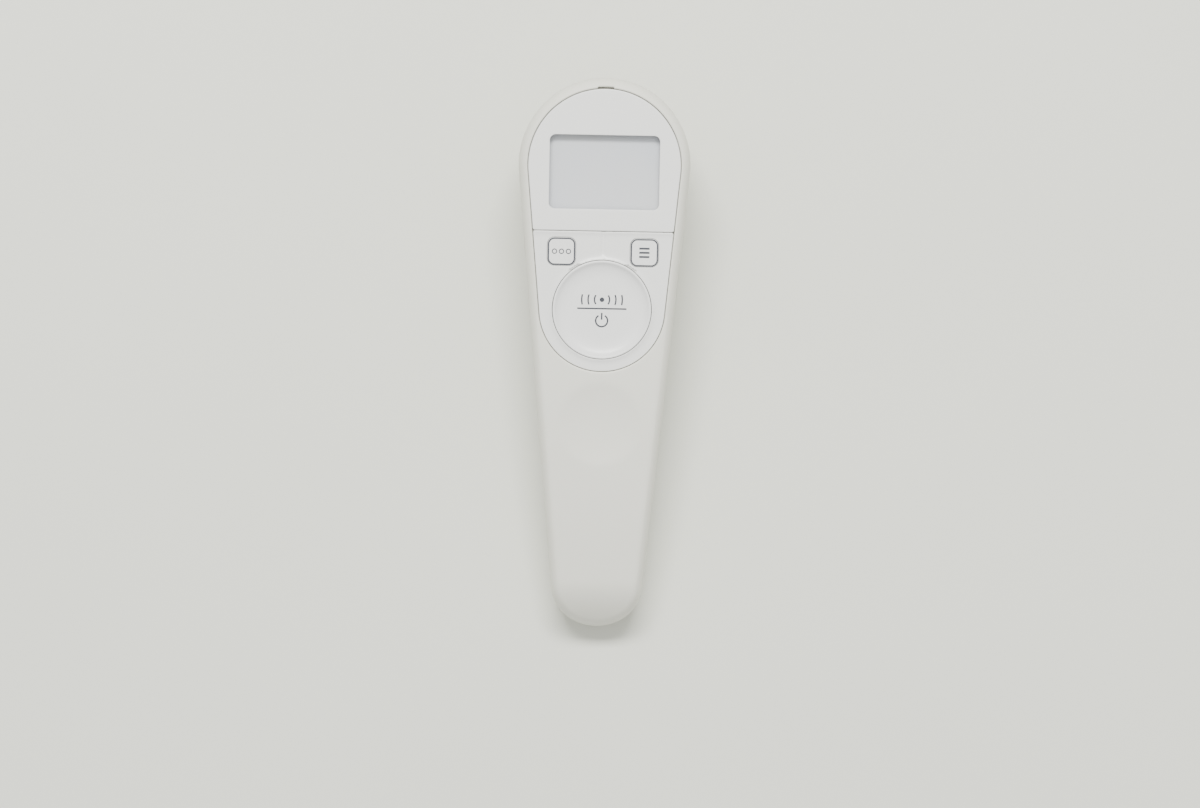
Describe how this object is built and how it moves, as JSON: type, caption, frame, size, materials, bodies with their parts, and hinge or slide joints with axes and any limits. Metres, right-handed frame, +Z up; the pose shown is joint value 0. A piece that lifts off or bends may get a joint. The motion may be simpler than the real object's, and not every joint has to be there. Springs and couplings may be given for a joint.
{
  "type": "non-contact infrared thermometer",
  "caption": "Hand-held infrared thermometer with a round display head, sensor nose, press keys, tapering handle and a sliding battery cover.",
  "frame": {"origin": "midway along the length and the width, on the surface that the thermometer lies on", "axes": "+Y towards the round head, +Z up out of the display side, along the sensor nose's axis; X across"},
  "size_m": [0.0432, 0.1398, 0.0374],
  "materials": {
    "casing": "fine satin moulded",
    "panel": "satin moulded",
    "key": "satin moulded, with printed marks",
    "window": "clear, polished",
    "lcd": "pale grey liquid crystal glass",
    "light_guide": "translucent white",
    "inner_plastic": "moulded",
    "black_plastic": "moulded",
    "foam": "foam",
    "elastomer": "striped conductive rubber",
    "board": "solder mask",
    "component": "ceramic",
    "sensor_metal": "plated can",
    "cone_metal": "polished",
    "contact_metal": "nickel plated",
    "screw_metal": "zinc plated",
    "cell_sleeve": "plain printed sleeve on a steel can",
    "wire": "insulation"
  },
  "bodies": {
    "casing": {"front_housing": "casing", "rear_housing": "casing", "display_panel": "panel", "display_window": "window", "display_gasket": "foam", "key_panel": "panel", "main_board": "board", "lcd_glass": "lcd", "lcd_backlight": "light_guide", "lcd_holder": "inner_plastic", "zebra_connector": "elastomer", "controller_chip": "black_plastic", "board_components": "component", "buzzer": "black_plastic", "start_switch_body": "contact_metal", "mode_switch_body": "contact_metal", "memory_switch_body": "contact_metal", "nose_collar": "casing", "optical_cone": "cone_metal", "sensor_holder": "black_plastic", "thermopile_sensor": "sensor_metal", "sensor_leads": "contact_metal", "battery_cell_left": "cell_sleeve", "battery_cell_right": "cell_sleeve", "battery_contact_plus": "contact_metal", "battery_contact_minus": "contact_metal", "battery_bridge_contact": "contact_metal", "battery_wires": "wire", "housing_screws": "screw_metal", "board_screws": "screw_metal"},
    "start": {"start_button": "key", "start_switch_plunger": "black_plastic"},
    "mode": {"mode_key": "key", "mode_switch_plunger": "black_plastic"},
    "memory": {"memory_key": "key", "memory_switch_plunger": "black_plastic"},
    "cover": {"battery_cover": "casing"}
  },
  "joints": [
    {"name": "start_press", "type": "slide", "parent": "casing", "child": "start", "axis": [0, 0.1045, -0.9945], "range_m": [0, 0.0004], "stiffness_N_per_m": 3000},
    {"name": "mode_press", "type": "slide", "parent": "casing", "child": "mode", "axis": [0, 0.1045, -0.9945], "range_m": [0, 0.0003], "stiffness_N_per_m": 3500},
    {"name": "memory_press", "type": "slide", "parent": "casing", "child": "memory", "axis": [0, 0.1045, -0.9945], "range_m": [0, 0.0003], "stiffness_N_per_m": 3500},
    {"name": "battery_cover_slide", "type": "slide", "parent": "casing", "child": "cover", "axis": [0, -0.9895, -0.1444], "range_m": [0, 0.08]}
  ]
}
